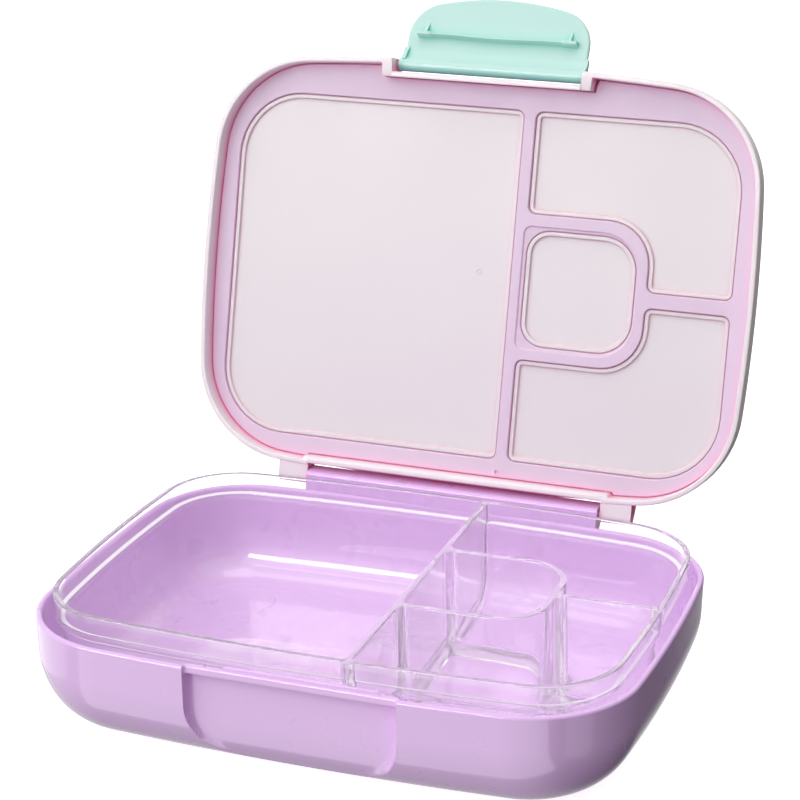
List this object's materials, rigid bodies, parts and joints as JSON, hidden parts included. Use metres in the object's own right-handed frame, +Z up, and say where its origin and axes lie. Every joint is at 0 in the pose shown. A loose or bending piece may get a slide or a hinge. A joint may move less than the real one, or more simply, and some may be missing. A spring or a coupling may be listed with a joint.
{
  "type": "bento lunch box",
  "caption": "Soft-cornered rectangular lunch box with a lift-out divided tray, a hinged lid with a fitted seal, and a swing latch at the front.",
  "frame": {"origin": "middle of the flat underside of the base", "axes": "+X to the right as seen from the latch side, -Y to the front where the latch closes, +Y to the hinge, +Z up"},
  "size_m": [0.216, 0.2233, 0.2185],
  "materials": {
    "base_lilac": "gloss",
    "tray_clear": "clear gloss",
    "lid_pink": "satin",
    "liner_pink": "satin",
    "seal_lilac": "satin",
    "latch_mint": "satin",
    "pin_steel": "satin"
  },
  "bodies": {
    "base": {"base_shell": "base_lilac", "hinge_pin_left": "pin_steel", "hinge_pin_right": "pin_steel"},
    "tray": {"tray": "tray_clear"},
    "lid": {"lid_shell": "lid_pink", "lid_liner": "liner_pink", "lid_seal": "seal_lilac", "latch_pin": "pin_steel"},
    "latch": {"latch": "latch_mint"}
  },
  "joints": [
    {"name": "lid_hinge", "type": "hinge", "parent": "base", "child": "lid", "pos_m": [0, 0.0824, 0.0414], "axis": [-1, 0, 0], "range_deg": [-104.4, 0]},
    {"name": "latch_pivot", "type": "hinge", "parent": "lid", "child": "latch", "pos_m": [0, 0.1265, 0.19465], "axis": [-1, 0, 0], "range_deg": [-107, 0]},
    {"name": "tray_lift", "type": "slide", "parent": "base", "child": "tray", "axis": [0, 0, 1], "range_m": [0, 0.07]}
  ]
}
